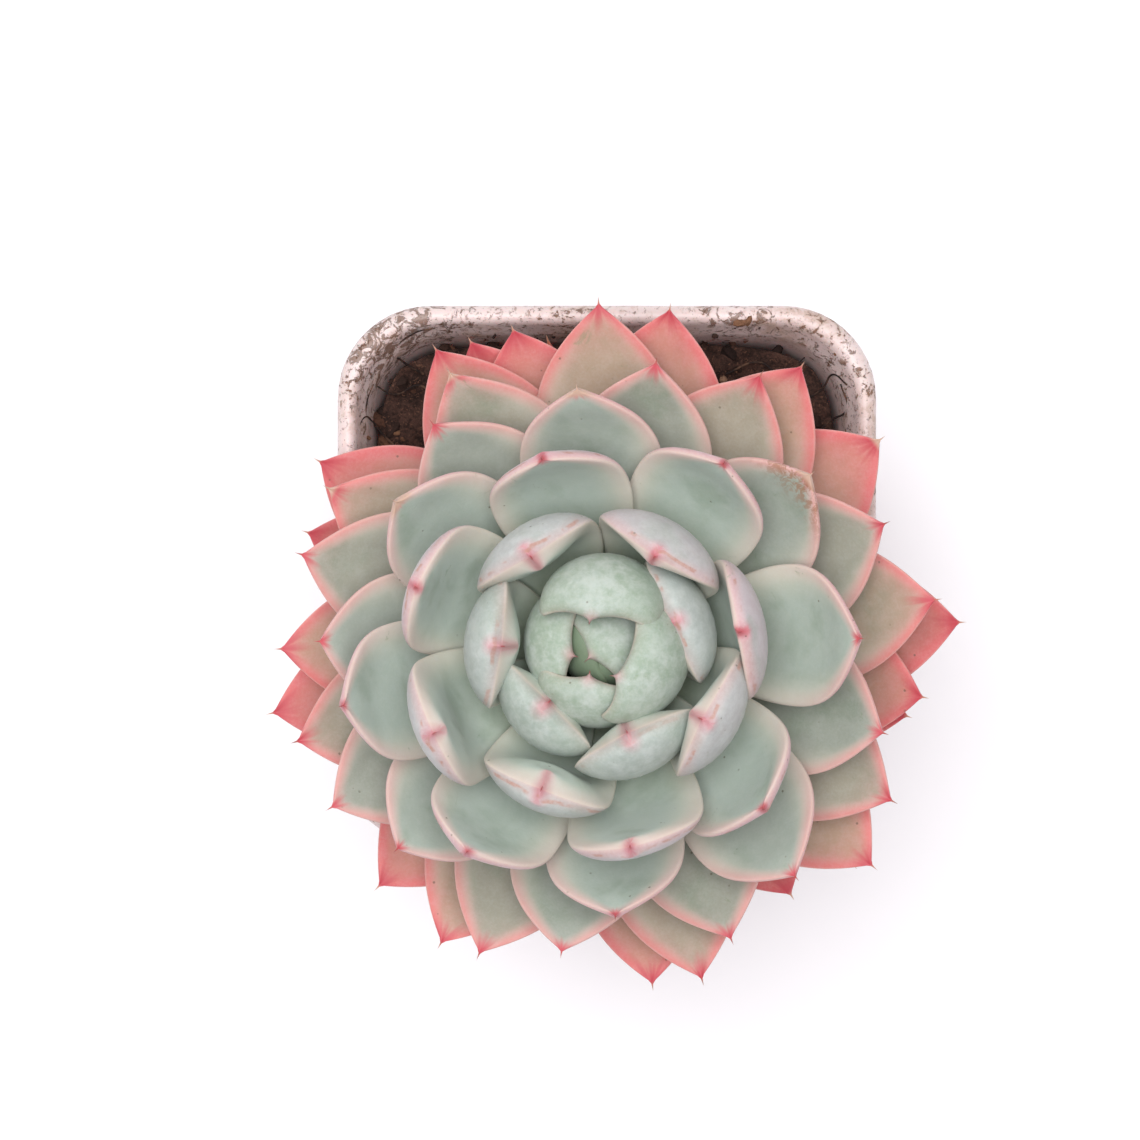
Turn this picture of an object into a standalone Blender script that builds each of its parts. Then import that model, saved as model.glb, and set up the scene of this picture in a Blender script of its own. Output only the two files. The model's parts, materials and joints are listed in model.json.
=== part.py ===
"""A potted rosette succulent: square nursery pot, soil, stem, closed bud and 56 open leaves.

Sizes below are in millimetres and degrees; meshes are written in metres, +Z up.
The origin is the centre of the pot's underside. +X is right, +Y is the back.
"""
import math

import bmesh
import bpy
from mathutils import Vector

MM = 0.001
GAP = 0.3                  # between pieces that touch in real life

# Pot: a tapered square tub with round corners and a rolled rim
POT_WIDTH = 64.0           # across the rim
POT_HEIGHT = 60.0
BASE_WIDTH = 46.0
POT_WALL = 1.3
RIM_DROP = 5.5             # height of the rolled rim
RIM_REACH = 1.7            # how far the rim stands out from the wall
RIM_SLOPE = 1.3            # width of the slope inside the rim's crest
RIM_ROUND = 0.5            # rounding of the rim's edges
CORNER_RADIUS = 11.0       # at the rim; it shrinks with the taper
CORNER_POINTS = 6
FLOOR = 1.7                # thickness of the pot's floor
FOOT_BEVEL = 0.7           # bevel round the bottom, inside and out
HOLE_RADIUS = 2.6
HOLE_SIDES = 16
HOLE_OFFSET = 12.0         # drain hole centres, each way from the middle

# Soil
SOIL_DEPTH_BELOW_RIM = 8.8
SOIL_BUMP = 0.5            # height of the soil's unevenness
SOCKET_DEPTH = 8.0         # how deep the stem goes into the soil

# Rosette: where its axis leaves the lowest leaf, and how it leans
ROSETTE_X = 1.4
ROSETTE_Y = -7.3
ROSETTE_LIFT = 3.0         # height of the lowest leaf's foot over the rim
LEAN_X = -0.11
LEAN_Y = -0.065

# Stem
LEVELS = 63                # leaf levels from the bud down to the lowest leaf
LEVEL_STEP = 0.27          # height of one level
STEM_TOP_RADIUS = 1.95
STEM_LOW_RADIUS = 4.95
STEM_ROOT_RADIUS = 3.6
STEM_SIDES = 16
STEM_TOP_GAP = 0.9         # from the stem's top to the bud's level
LEAF_GAP = 0.5             # between the stem and each leaf's foot

# How the leaves fan out. Level 0 is the youngest.
HEART = 8.5                # reach of the youngest leaves from the axis
SPREAD = 41.5              # reach of the oldest leaves; the whole rosette grows with it
DRAWN_SPREAD = 41.5        # the reach for which stem and leaf sizes here are given
SPREAD_LEVELS = 24.0
SPREAD_POWER = 1.5
# pitch in degrees, each as: value in old age, extra at level 0, levels it fades over, power
START_PITCH = (-2.0, 18.0, 30.0, 1.0)
BEND = (4.0, 112.0, 21.0, 1.2)        # even bend from foot to tip
HOOK = (8.0, 46.0, 35.0, 1.0)         # extra bend near the tip
HOOK_POWER = 4.0
GOLDEN_TURN = 136.75       # degrees from each leaf to the next older one
FIRST_AZIMUTH = 267.0
PATH_STEPS = 60

# One leaf
HALF_WIDTH = 8.3
YOUNG_WIDTH = 6.6
WIDTH_LEVELS = 12.0        # levels over which leaves reach their full width
NECK_HALF_WIDTH = 1.95     # at the stem
WIDEST_AT = (0.70, 0.62)   # along a young and an old leaf
TIP_ROUND = (2.6, 1.9)     # how late the tip starts to narrow
TIP_BLUNT = (0.60, 0.90)
FULL_AGE = 40.0            # level at which a leaf has its old shape
THICK_YOUNG = 3.4
THICK_LOSS = 0.020         # thickness lost with each level
NECK_THICK = 0.9
UPPER_SHARE = 0.14         # share of the thickness above the leaf's own surface
STATIONS = (0.0, 0.12, 0.28, 0.45, 0.62, 0.77, 0.88, 0.955)
EDGE_SHARE = 0.10          # how far the margin lies below the leaf's own surface
ACROSS = 0.62              # lateral place of the vertices between midrib and margin

# level: (turn in degrees, stretch in mm) that each leaf adds to the rule
LEAF_HABIT = {
    3: (8, 0.0), 5: (-7, 0.7), 6: (5, 1.4), 7: (-6, -1.5), 8: (-4, 2.1), 9: (4, 0.4),
    10: (-7, 0.0), 11: (2, 2.4), 12: (-8, -1.8), 13: (-7, 1.8), 14: (5, 0.5), 15: (-5, -2.0),
    16: (-2, 2.5), 17: (2, -1.0), 18: (-7, 0.5), 19: (2, 3.0), 20: (4, -0.5), 21: (-1, 2.0),
    22: (4, 0.5), 23: (2, 1.0), 24: (-1, 2.5), 25: (6, 0.0), 26: (0, 3.0), 27: (3, 1.0),
    28: (2, -0.5), 29: (1, 2.5), 30: (2, -0.5), 31: (-4, 0.0), 32: (-1, 2.5), 33: (5, -1.0),
    34: (-4, 1.5), 35: (2, 1.5), 36: (0, -0.5), 37: (0, 2.5), 38: (9, 0.0), 39: (-2, 0.5),
    40: (0, 1.0), 41: (0, -1.5), 42: (2, 2.5), 43: (4, -0.5), 44: (-2, 0.0), 45: (7, 2.0),
    46: (-5, 1.0), 47: (0, 1.0), 48: (-2, 0.0), 49: (9, 0.0), 50: (7, 1.0), 51: (-12, 0.5),
}
# the oldest leaves no longer keep the golden turn: (level, azimuth in degrees, stretch in mm)
OLD_LEAVES = (
    (53, 350, -3.0), (54, 226, 0.5), (55, 80, -0.5), (57, 37, -1.0),
    (59, 192, 1.5), (61, 108, -2.0), (62, 3, 0.0), (63, 149, 0.5),
)

# Bud
BUD_LEVEL = 1.0            # the shut leaves fill the space inside this level
BUD_LOBES = 5
BUD_FURROW = 0.07          # depth of the furrows as a share of the radius
BUD_TWIST = 40.0           # degrees the furrows turn from foot to tip
BUD_SIDES = 20
BUD_SHARES = (0.0, 0.16, 0.32, 0.46, 0.58, 0.70, 0.81, 0.91, 1.0)
BUD_POINT = 1.2            # height of the point over the last ring

DEG = math.pi / 180.0


def rosette_axes():
    """Right, back and up directions of the leaning rosette."""
    up = Vector((LEAN_X, LEAN_Y, math.sqrt(1.0 - LEAN_X ** 2 - LEAN_Y ** 2)))
    back = Vector((0.0, 1.0, 0.0))
    back = (back - up * back.dot(up)).normalized()
    return back.cross(up), back, up


RIGHT, BACK, UP = rosette_axes()
GROWTH = SPREAD / DRAWN_SPREAD
ROSETTE = Vector((ROSETTE_X, ROSETTE_Y, POT_HEIGHT + ROSETTE_LIFT * GROWTH))


def rosette_point(radius, angle, height):
    """A point given by its distance, angle and height about the rosette's axis."""
    out = RIGHT * (radius * math.cos(angle)) + BACK * (radius * math.sin(angle))
    return ROSETTE + (out + UP * height) * GROWTH


def material(name, colour, roughness):
    mat = bpy.data.materials.new(name)
    mat.use_nodes = True
    shader = mat.node_tree.nodes["Principled BSDF"]
    shader.inputs["Base Color"].default_value = (*colour, 1.0)
    shader.inputs["Roughness"].default_value = roughness
    shader.inputs["Metallic"].default_value = 0.0
    return mat


def solid(name, points, faces, mat):
    """One closed body, faces outward, round surfaces smooth and edges sharp."""
    mesh = bpy.data.meshes.new(name)
    mesh.from_pydata([tuple(p * MM) for p in points], [], faces)
    bm = bmesh.new()
    bm.from_mesh(mesh)
    bmesh.ops.recalc_face_normals(bm, faces=bm.faces)
    bm.to_mesh(mesh)
    bm.free()
    mesh.materials.append(mat)
    mesh.shade_smooth()
    mesh.set_sharp_from_angle(angle=50.0 * DEG)
    obj = bpy.data.objects.new(name, mesh)
    bpy.context.scene.collection.objects.link(obj)
    return obj


def loft(name, loops, mat, tip=None):
    """A body through loops of equal length, closed flat at the ends or at a tip point."""
    count = len(loops[0])
    points = [p for loop in loops for p in loop]
    faces = [tuple(reversed(range(count)))]
    for i in range(len(loops) - 1):
        low = i * count
        for j in range(count):
            k = (j + 1) % count
            faces.append((low + j, low + k, low + count + k, low + count + j))
    last = (len(loops) - 1) * count
    if tip is None:
        faces.append(tuple(range(last, last + count)))
    else:
        points.append(tip)
        for j in range(count):
            faces.append((last + j, last + (j + 1) % count, len(points) - 1))
    return solid(name, points, faces, mat)


def rounded_square(half, height):
    """A square loop with round corners, going round from the right."""
    radius = CORNER_RADIUS * half / (POT_WIDTH / 2.0)
    loop = []
    for corner in range(4):
        middle = (corner + 0.5) * 90.0 * DEG
        centre = (half - radius) * math.sqrt(2.0)
        cx = centre * math.cos(middle)
        cy = centre * math.sin(middle)
        for i in range(CORNER_POINTS):
            angle = (corner + i / (CORNER_POINTS - 1)) * 90.0 * DEG
            loop.append(Vector((cx + radius * math.cos(angle), cy + radius * math.sin(angle), height)))
    return loop


WALL_TOP = POT_WIDTH / 2.0 - RIM_REACH       # outside of the wall if it reached the top
TAPER = (WALL_TOP - BASE_WIDTH / 2.0) / POT_HEIGHT


def wall_out(height):
    return BASE_WIDTH / 2.0 + TAPER * height


def wall_in(height):
    return wall_out(height) - POT_WALL


def make_pot(mat):
    half = POT_WIDTH / 2.0
    top = POT_HEIGHT
    crest = half - RIM_REACH * 0.9
    low = top - RIM_DROP
    rows = (
        (wall_out(0.0) - FOOT_BEVEL, 0.0),
        (wall_out(FOOT_BEVEL), FOOT_BEVEL),
        (wall_out(low), low),
        (half - RIM_ROUND, low + 0.2 * RIM_ROUND),
        (half - 0.2 * RIM_ROUND, low + 1.6 * RIM_ROUND),
        (half, top - 3.2 * RIM_ROUND),
        (half - 0.9 * RIM_ROUND, top - RIM_ROUND),
        (crest, top),
        (crest - RIM_ROUND, top - 0.4 * RIM_ROUND),
        (crest - RIM_SLOPE, top - 3.8 * RIM_ROUND),
        (wall_in(top - 8.0 * RIM_ROUND), top - 8.0 * RIM_ROUND),
        (wall_in(FLOOR + FOOT_BEVEL), FLOOR + FOOT_BEVEL),
        (wall_in(FLOOR) - FOOT_BEVEL, FLOOR),
    )
    pot = loft("pot", [rounded_square(w, z) for w, z in rows], mat)
    for sx in (-1, 1):
        for sy in (-1, 1):
            cut_hole(pot, sx * HOLE_OFFSET, sy * HOLE_OFFSET, mat)
    return pot


def cut_hole(pot, x, y, mat):
    """Cuts one drain hole straight through the pot's floor."""
    ring = []
    for i in range(HOLE_SIDES):
        angle = 2.0 * math.pi * i / HOLE_SIDES
        ring.append(Vector((x + HOLE_RADIUS * math.cos(angle), y + HOLE_RADIUS * math.sin(angle), 0.0)))
    rise = Vector((0.0, 0.0, 1.0))
    above = rise * (FLOOR + 1.0)
    cutter = loft("hole_cutter", [[p - rise for p in ring], [p + above for p in ring]], mat)
    cutter.hide_render = True
    cutter.display_type = 'WIRE'
    cut = pot.modifiers.new("drain", 'BOOLEAN')
    cut.operation = 'DIFFERENCE'
    cut.solver = 'EXACT'
    cut.object = cutter
    bpy.context.view_layer.update()
    graph = bpy.context.evaluated_depsgraph_get()
    mesh = bpy.data.meshes.new_from_object(pot.evaluated_get(graph))
    pot.modifiers.clear()
    old = pot.data
    pot.data = mesh
    mesh.name = "pot"
    bpy.data.meshes.remove(old)
    bpy.data.objects.remove(cutter)


def soil_top():
    return POT_HEIGHT - SOIL_DEPTH_BELOW_RIM


def axis_at(world_z):
    """The point on the rosette's leaning axis at one height above the table."""
    return ROSETTE + UP * ((world_z - ROSETTE.z) / UP.z)


def make_soil(mat):
    top = soil_top()
    floor = FLOOR + GAP
    bevel = FOOT_BEVEL + GAP
    loops = [
        rounded_square(wall_in(floor) - GAP - bevel, floor),
        rounded_square(wall_in(floor + bevel) - GAP, floor + bevel),
        rounded_square(wall_in(top - SOIL_BUMP) - GAP, top - SOIL_BUMP),
        rounded_square(wall_in(top) - GAP - SOIL_BUMP, top),
    ]
    edge = loops[-1]
    centre = axis_at(top)
    hole = STEM_ROOT_RADIUS * GROWTH + GAP
    for share in (0.8, 0.55, 0.3, 0.0):
        loop = []
        for i, p in enumerate(edge):
            angle = (i + 0.5) / len(edge) * 2.0 * math.pi
            rim = centre + Vector((math.cos(angle), math.sin(angle), 0.0)) * hole
            q = rim.lerp(p, share)
            fade = 4.0 * share * (1.0 - share)
            q.z = top + SOIL_BUMP * fade * (math.sin(0.31 * q.x + 1.0) + math.cos(0.27 * q.y))
            loop.append(q)
        loops.append(loop)
    low = axis_at(top - SOCKET_DEPTH)
    loops.append([p - centre + low for p in loops[-1]])
    return loft("soil", loops, mat)


def stem_radius(height):
    """Stem radius at a height above the lowest leaf, along the axis."""
    share = min(max(height / (LEVELS * LEVEL_STEP), 0.0), 1.0)
    return STEM_LOW_RADIUS + (STEM_TOP_RADIUS - STEM_LOW_RADIUS) * share


def make_stem(mat):
    """The stem, by height along the rosette's axis: root end, neck and leaf-bearing cone."""
    ground = (soil_top() - ROSETTE.z) / UP.z / GROWTH
    foot = ground - (SOCKET_DEPTH / UP.z - 3.0 * GAP) / GROWTH
    cone = LEVELS * LEVEL_STEP - STEM_TOP_GAP
    rows = (
        (foot, STEM_ROOT_RADIUS * 0.6),
        (foot + 2.0, STEM_ROOT_RADIUS * 0.9),
        (ground + 1.0, STEM_ROOT_RADIUS - 0.1),
        (-5.0, STEM_LOW_RADIUS * 0.85),
        (-2.0, STEM_LOW_RADIUS),
        (0.0, STEM_LOW_RADIUS),
        (cone - 0.7, stem_radius(cone - 0.7)),
        (cone, STEM_TOP_RADIUS * 0.6),
    )
    loops = []
    for height, radius in rows:
        turns = [2.0 * math.pi * i / STEM_SIDES for i in range(STEM_SIDES)]
        loops.append([rosette_point(radius, turn, height) for turn in turns])
    return loft("stem", loops, mat)


def fading(rule, level):
    low, extra, fade, power = rule
    return (low + extra * math.exp(-(level / fade) ** power)) * DEG


def leaf_reach(level):
    """How far from the axis a leaf's surface goes before any stretch."""
    return HEART + (DRAWN_SPREAD - HEART) * (1.0 - math.exp(-(level / SPREAD_LEVELS) ** SPREAD_POWER))


def leaf_path(level, stretch):
    """Points from foot to tip as (radius, height, pitch), evenly spaced along the leaf."""
    start = fading(START_PITCH, level)
    bend = fading(BEND, level)
    hook = fading(HOOK, level)
    rise = (LEVELS - level) * LEVEL_STEP
    foot = stem_radius(rise) + LEAF_GAP
    points = [(0.0, 0.0, start)]
    out = 0.0
    up = 0.0
    for i in range(PATH_STEPS):
        t = (i + 0.5) / PATH_STEPS
        pitch = start + bend * t + hook * t ** HOOK_POWER
        out += math.cos(pitch) / PATH_STEPS
        up += math.sin(pitch) / PATH_STEPS
        end = (i + 1.0) / PATH_STEPS
        points.append((out, up, start + bend * end + hook * end ** HOOK_POWER))
    length = (leaf_reach(level) + stretch - foot) / max(p[0] for p in points)
    return [(foot + length * r, rise + length * h, pitch) for r, h, pitch in points]


def path_at(path, share):
    """Radius, height and pitch at a share of the leaf's length."""
    place = share * (len(path) - 1)
    i = min(int(place), len(path) - 2)
    return tuple(a + (b - a) * (place - i) for a, b in zip(path[i], path[i + 1]))


def by_age(pair, level):
    age = min(level / FULL_AGE, 1.0)
    return pair[0] + (pair[1] - pair[0]) * age


def leaf_width(level, share):
    """Half width along a leaf in millimetres."""
    widest = HALF_WIDTH + (YOUNG_WIDTH - HALF_WIDTH) * math.exp(-level / WIDTH_LEVELS)
    peak = by_age(WIDEST_AT, level)
    if share < peak:
        grow = math.sin(0.5 * math.pi * share / peak) ** 1.5
        return NECK_HALF_WIDTH + (widest - NECK_HALF_WIDTH) * grow
    past = (share - peak) / (0.985 - peak)
    return widest * max(1.0 - past ** by_age(TIP_ROUND, level), 0.0) ** by_age(TIP_BLUNT, level)


def leaf_thickness(level, share):
    """Thickness at the midrib."""
    full = THICK_YOUNG - THICK_LOSS * level
    if share < 0.55:
        return NECK_THICK + (full - NECK_THICK) * math.sin(0.5 * math.pi * share / 0.55) ** 1.3
    past = (share - 0.55) / 0.45
    return full * (1.0 - 0.72 * past ** 1.8)


def make_leaf(level, azimuth, stretch, mat):
    path = leaf_path(level, stretch)
    loops = []
    for share in STATIONS:
        radius, height, pitch = path_at(path, share)
        half = leaf_width(level, share) / radius
        thick = leaf_thickness(level, share)
        loop = []
        for side, face in ((-1.0, 0), (-ACROSS, 1), (0.0, 1), (ACROSS, 1),
                           (1.0, 0), (ACROSS, -1), (0.0, -1), (-ACROSS, -1)):
            if face > 0:
                off = UPPER_SHARE * thick * (1.0 - side * side)
            elif face < 0:
                off = -(1.0 - UPPER_SHARE) * thick * (1.0 - side * side) ** 0.6
            else:
                off = -EDGE_SHARE * thick
            r = radius - off * math.sin(pitch)
            h = height + off * math.cos(pitch)
            loop.append(rosette_point(r, azimuth * DEG + side * half, h))
        loops.append(loop)
    radius, height, pitch = path[-1]
    tip = rosette_point(radius, azimuth * DEG, height)
    return loft(f"leaf_{level:02d}", loops, mat, tip)


def make_bud(mat):
    """The shut centre of the rosette: a furrowed knob standing on the stem's tip."""
    path = leaf_path(BUD_LEVEL, 0.0)
    loops = []
    for share in BUD_SHARES:
        radius, height, _ = path_at(path, share)
        loop = []
        for j in range(BUD_SIDES):
            angle = 2.0 * math.pi * j / BUD_SIDES
            phase = 0.5 * BUD_LOBES * (angle + BUD_TWIST * DEG * share)
            r = radius * (1.0 - BUD_FURROW * (1.0 - abs(math.sin(phase))))
            loop.append(rosette_point(r, angle, height))
        loops.append(loop)
    return loft("bud", loops, mat, rosette_point(0.0, 0.0, path[-1][1] + BUD_POINT))


def leaf_colour(level):
    """Grey jade in the heart, warming to salmon on the oldest leaves."""
    age = min(level / 45.0, 1.0)
    young = (0.36, 0.45, 0.36)
    old = (0.62, 0.42, 0.31)
    return tuple(y + (o - y) * age for y, o in zip(young, old))


def main():
    for obj in list(bpy.data.objects):
        bpy.data.objects.remove(obj)
    make_pot(material("pot_plastic", (0.80, 0.76, 0.76), 0.35))
    make_soil(material("potting_soil", (0.035, 0.026, 0.020), 0.95))
    make_stem(material("stem_bark", (0.30, 0.25, 0.15), 0.80))
    make_bud(material("bud_skin", leaf_colour(0), 0.55))
    rows = []
    for level, (turn, stretch) in LEAF_HABIT.items():
        rows.append((level, FIRST_AZIMUTH - GOLDEN_TURN * level + turn, stretch))
    for level, azimuth, stretch in rows + list(OLD_LEAVES):
        skin = material(f"leaf_{level:02d}_skin", leaf_colour(level), 0.50)
        make_leaf(level, azimuth, stretch, skin)


main()
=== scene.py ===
# %% [markdown]
# # A potted rosette succulent
# The model that comes in first is the maker's frame: pot, soil, stem, shut bud and fifty-six
# open leaves, each in its true place and size. This lesson keeps every place and size, and
# builds the skin, the wax, the soil and the plastic that the frame only hints at.

# %% Load the frame
import json
import math

import bpy
import numpy as np
from mathutils import Matrix, Vector, noise

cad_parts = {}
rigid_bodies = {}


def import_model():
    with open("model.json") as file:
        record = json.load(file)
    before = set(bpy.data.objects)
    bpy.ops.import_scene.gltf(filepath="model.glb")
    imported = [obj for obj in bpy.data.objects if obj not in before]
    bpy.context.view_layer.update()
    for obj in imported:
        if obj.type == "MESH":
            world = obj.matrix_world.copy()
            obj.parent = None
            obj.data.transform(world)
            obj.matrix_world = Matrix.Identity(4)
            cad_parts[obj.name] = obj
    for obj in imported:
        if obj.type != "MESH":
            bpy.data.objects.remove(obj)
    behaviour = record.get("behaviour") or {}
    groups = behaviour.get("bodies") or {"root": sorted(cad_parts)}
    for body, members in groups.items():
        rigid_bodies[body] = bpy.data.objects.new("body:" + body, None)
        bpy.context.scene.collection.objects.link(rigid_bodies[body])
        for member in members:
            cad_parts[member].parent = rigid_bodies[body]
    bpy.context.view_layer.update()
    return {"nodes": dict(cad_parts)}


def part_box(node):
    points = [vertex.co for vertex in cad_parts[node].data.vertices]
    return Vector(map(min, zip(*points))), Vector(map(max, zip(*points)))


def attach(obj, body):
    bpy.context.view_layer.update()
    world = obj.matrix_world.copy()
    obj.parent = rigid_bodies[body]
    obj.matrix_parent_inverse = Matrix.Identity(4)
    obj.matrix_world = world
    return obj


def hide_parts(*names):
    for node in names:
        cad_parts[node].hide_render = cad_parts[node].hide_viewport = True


for stray in list(bpy.data.objects):
    bpy.data.objects.remove(stray)
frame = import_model()
MM = 0.001

# %% [markdown]
# ## Where the rosette grows
# A rosette is built round one axis. This one leans a little to the left and forward, so leaf
# places are worked out as distance, angle and height about that axis, in millimetres, and
# turned into metres at the very end. The foot of the axis stands three millimetres over the
# rim of the pot.

# %% The rosette's axis
pot_low, pot_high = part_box("pot")
soil_low, soil_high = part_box("soil")
LEAN_X = -0.11
LEAN_Y = -0.065
UP = np.array((LEAN_X, LEAN_Y, math.sqrt(1.0 - LEAN_X ** 2 - LEAN_Y ** 2)))
BACK = np.array((0.0, 1.0, 0.0)) - UP * UP[1]
BACK = BACK / np.linalg.norm(BACK)
RIGHT = np.cross(BACK, UP)
ROSETTE = np.array((1.4, -7.3, pot_high.z / MM + 3.0))


def to_world(out, sideways, height):
    """Millimetres about the rosette's axis to metres in the frame."""
    return (ROSETTE + np.outer(out, RIGHT) + np.outer(sideways, BACK) + np.outer(height, UP)) * MM


def about_axis(points):
    """Metres in the frame to millimetres about the rosette's axis."""
    local = np.asarray(points) / MM - ROSETTE
    return local @ RIGHT, local @ BACK, local @ UP


print("axis leans", round(math.degrees(math.acos(UP[2])), 1), "degrees, over soil from",
      round(soil_low.z / MM, 1), "to", round(soil_high.z / MM, 1), "mm")

# %% [markdown]
# ## One blank for all the leaves
# A succulent's leaf is a plump, shut skin with a foot, a tip and a margin that runs right
# round. A sphere has the same make-up: two poles for foot and tip, and rings between them.
# So the blank is a sphere laid down with its poles along Y and stretched to a length of one.
# Each leaf is then a copy of that blank, bent and filled out by the way the plant grows. No
# single tool in Blender bends a leaf round a leaning axis while it hooks at the tip, so that
# last step moves the points by a rule.

# %% Make the blank
RING_COUNT = 46
ROUND_COUNT = 36


def start_piece():
    """Nothing selected, so an operator touches only what is added next."""
    if bpy.context.object and bpy.context.object.mode != "OBJECT":
        bpy.ops.object.mode_set(mode="OBJECT")
    bpy.ops.object.select_all(action="DESELECT")


def edit():
    """Into the points and faces of the active object, all of them selected."""
    bpy.ops.object.mode_set(mode="EDIT")
    bpy.ops.mesh.select_all(action="SELECT")


def leave_edit():
    bpy.ops.object.mode_set(mode="OBJECT")


start_piece()
bpy.ops.mesh.primitive_uv_sphere_add(segments=ROUND_COUNT, ring_count=RING_COUNT, radius=1.0)
blank = bpy.context.object
blank.name = "leaf_blank"
edit()
bpy.ops.transform.rotate(value=math.pi / 2.0, orient_axis="X", center_override=(0.0, 0.0, 0.0))
bpy.ops.transform.resize(value=(1.0, 0.5, 1.0))
bpy.ops.transform.translate(value=(0.0, 0.5, 0.0))
leave_edit()
blank_points = np.array([v.co for v in blank.data.vertices])
print("blank:", len(blank_points), "points from y", round(blank_points[:, 1].min(), 3),
      "to", round(blank_points[:, 1].max(), 3))

# %% Read where each point of the blank lies on a leaf
TIP_CROWDING = 1.35        # rings crowd together towards the tip, where the shape is finest
ring_share = np.arccos(np.clip(1.0 - 2.0 * blank_points[:, 1], -1.0, 1.0)) / math.pi
ALONG = 1.0 - (1.0 - ring_share) ** TIP_CROWDING
round_angle = np.arctan2(blank_points[:, 2], blank_points[:, 0])
ACROSS = np.cos(round_angle)
FACE = np.sin(round_angle)
pole = np.hypot(blank_points[:, 0], blank_points[:, 2]) < 1e-4
ACROSS[pole] = 0.0
FACE[pole] = 1.0
blank.hide_render = True
print("along", ALONG.min().round(3), ALONG.max().round(3), "poles", int(pole.sum()))

# %% [markdown]
# ## How a leaf grows
# Level counts leaves outwards from the heart. A young leaf climbs and hooks back over the
# heart; an old one lies nearly flat. Three angles say that: how steeply it leaves the stem,
# how evenly it bends, and how hard it hooks at the tip. Each of them fades with age.

# %% The growth rule
LEVELS = 63
LEVEL_STEP = 0.27
STEM_TOP_RADIUS = 1.95
STEM_LOW_RADIUS = 4.95
LEAF_GAP = 0.5
START_PITCH = (-2.0, 18.0, 30.0, 1.0)      # old value, extra when young, levels it fades over, power
BEND = (4.0, 112.0, 21.0, 1.2)
HOOK = (8.0, 46.0, 35.0, 1.0)
HOOK_POWER = 4.0
PATH_STEPS = 80


def fading(rule, level):
    low, extra, fade, power = rule
    return math.radians(low + extra * math.exp(-(max(level, 0.0) / fade) ** power))


def stem_radius(height):
    share = min(max(height / (LEVELS * LEVEL_STEP), 0.0), 1.0)
    return STEM_LOW_RADIUS + (STEM_TOP_RADIUS - STEM_LOW_RADIUS) * share


FLARE_FROM = 0.84          # the last part of a leaf turns outwards again, into its spine


def bent_path(foot, rise, angles, reach, flare=0.0):
    """Distance, height and pitch along a leaf that reaches as far as `reach` from the axis."""
    start, bend, hook = angles
    middle = (np.arange(PATH_STEPS) + 0.5) / PATH_STEPS
    ends = np.arange(PATH_STEPS + 1) / PATH_STEPS
    outward_turn = flare * np.clip((ends - FLARE_FROM) / (1.0 - FLARE_FROM), 0.0, 1.0) ** 1.4
    pitch = start + bend * middle + hook * middle ** HOOK_POWER - 0.5 * (outward_turn[:-1] + outward_turn[1:])
    out = np.concatenate(([0.0], np.cumsum(np.cos(pitch)))) / PATH_STEPS
    up = np.concatenate(([0.0], np.cumsum(np.sin(pitch)))) / PATH_STEPS
    length = (reach - foot) / out.max()
    ending = start + bend * ends + hook * ends ** HOOK_POWER - outward_turn
    return foot + length * out, rise + length * up, ending, length


# Extra bend of single leaves, in degrees, and leaves held closer than their frame solid, in mm
CURL = {3: -3.0, 7: 2.0, 8: -12.0, 10: 8.0, 12: 18.0, 15: 20.0}
DRAWN_IN = {5: 0.3, 6: 1.2, 7: 0.5, 9: 1.0, 10: 0.5, 12: 1.2, 15: 1.6}
FLARE = (58.0, 15.0, 52.0)  # degrees that a tip flares, levels it comes in by, levels it fades by


def rule_path(level, reach):
    angles = [fading(rule, level) for rule in (START_PITCH, BEND, HOOK)]
    angles[1] += math.radians(CURL.get(level, 0.0))
    rise = (LEVELS - level) * LEVEL_STEP
    most, comes_in, fades = FLARE
    flare = math.radians(most) * (1.0 - math.exp(-(level / comes_in) ** 2)) * math.exp(-(level / fades) ** 4)
    return bent_path(stem_radius(rise) + LEAF_GAP, rise, angles, reach, flare)


print("level 5 hooks to", round(math.degrees(rule_path(5, 12.0)[2][-1])), "degrees, level 50 to",
      round(math.degrees(rule_path(50, 40.0)[2][-1])))

# %% [markdown]
# ## The outline and the plumpness
# Seen flat, a young leaf is a broad spoon with a blunt end; an old one is drawn out to a
# point. Both end in a hard little spine. Seen in section, the inner face is a shallow dish
# and the back is round, so all of the plumpness is behind.

# %% Outline and thickness
HALF_WIDTH = 8.3
YOUNG_WIDTH = 7.3
WIDTH_LEVELS = 12.0
NECK_HALF_WIDTH = 1.95
WIDEST_AT = (0.71, 0.63)
TIP_ROUND = (3.3, 2.0)
TIP_BLUNT = (0.56, 1.02)
FULL_AGE = 34.0
SHOULDER = 0.972
SPINE_HALF = 0.55
SPINE_RUN = 0.085
THICK_YOUNG = 3.4
THICK_LOSS = 0.020
NECK_THICK = 0.9
RIM_SWELL = 0.26           # how far the inner face rises just inside its margin, as a share of the thickness
DISH = 0.20                # how far it sinks again towards the midrib
BACK_SWELL = 0.86
CUSHION = 1.40             # the inner face of a young leaf swells towards the tip, as a share too
CUSHION_LEVELS = 13.0


def by_age(pair, level):
    return pair[0] + (pair[1] - pair[0]) * min(max(level, 0.0) / FULL_AGE, 1.0)


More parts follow.
